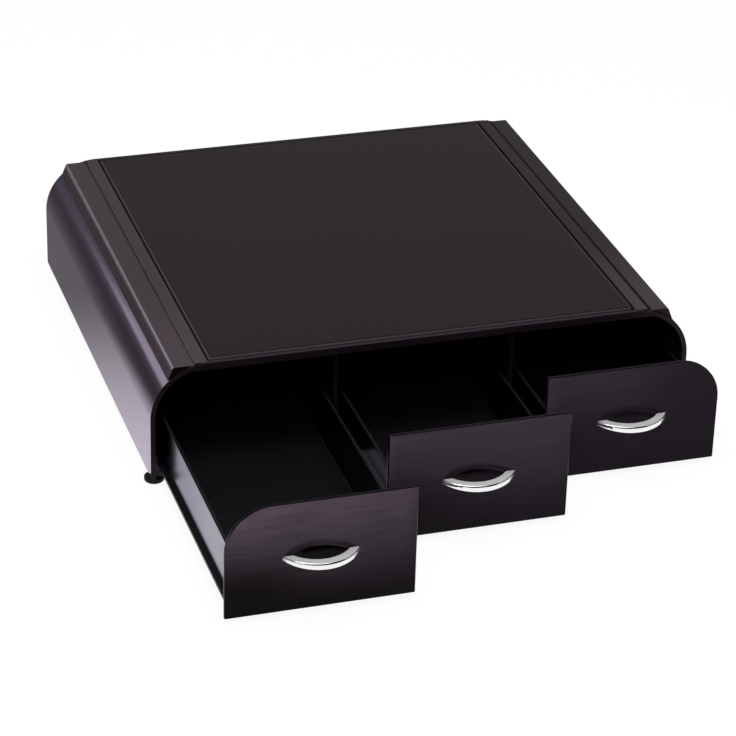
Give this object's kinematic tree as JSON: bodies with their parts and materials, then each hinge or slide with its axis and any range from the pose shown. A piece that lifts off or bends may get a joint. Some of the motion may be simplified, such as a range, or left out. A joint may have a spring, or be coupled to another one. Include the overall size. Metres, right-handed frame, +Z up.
{
  "type": "coffee pod drawer",
  "caption": "Low arched stand with a flat deck for a coffee machine and side-by-side pull-out trays for coffee pods, each with a plain front and a bow handle.",
  "frame": {"origin": "middle of the part's footprint on the worktop, with the drawers open as they stand at rest", "axes": "+X to the right, +Y to the back of the housing, +Z up; the drawers open towards -Y"},
  "size_m": [0.3556, 0.4856, 0.0809],
  "materials": {
    "cover": "satin plum-black moulded plastic",
    "rail": "satin plum-black moulded plastic",
    "inlay": "smooth, nearly black, satin",
    "front": "satin with a very fine brushed grain",
    "tray": "semi-gloss black moulded plastic",
    "black_plastic": "plain black moulded plastic",
    "foot_rubber": "matte black rubber",
    "handle_chrome": "bright polished chrome",
    "screw_steel": "zinc-plated steel"
  },
  "bodies": {
    "housing": {"cover_shell": "cover", "left_rail": "rail", "right_rail": "rail", "top_inlay": "inlay", "back_panel": "black_plastic", "base_plate": "black_plastic", "left_divider": "black_plastic", "right_divider": "black_plastic", "left_track": "black_plastic", "right_track": "black_plastic", "base_screws": "screw_steel", "feet": "foot_rubber"},
    "left_drawer": {"left_tray": "tray", "left_front": "front", "left_handle": "handle_chrome", "left_handle_screws": "screw_steel"},
    "middle_drawer": {"middle_tray": "tray", "middle_front": "front", "middle_handle": "handle_chrome", "middle_handle_screws": "screw_steel"},
    "right_drawer": {"right_tray": "tray", "right_front": "front", "right_handle": "handle_chrome", "right_handle_screws": "screw_steel"}
  },
  "joints": [
    {"name": "left_slide", "type": "slide", "parent": "housing", "child": "left_drawer", "axis": [0, -1, 0], "range_m": [-0.162, 0.088]},
    {"name": "middle_slide", "type": "slide", "parent": "housing", "child": "middle_drawer", "axis": [0, -1, 0], "range_m": [-0.103, 0.147]},
    {"name": "right_slide", "type": "slide", "parent": "housing", "child": "right_drawer", "axis": [0, -1, 0], "range_m": [-0.0595, 0.1905]}
  ]
}
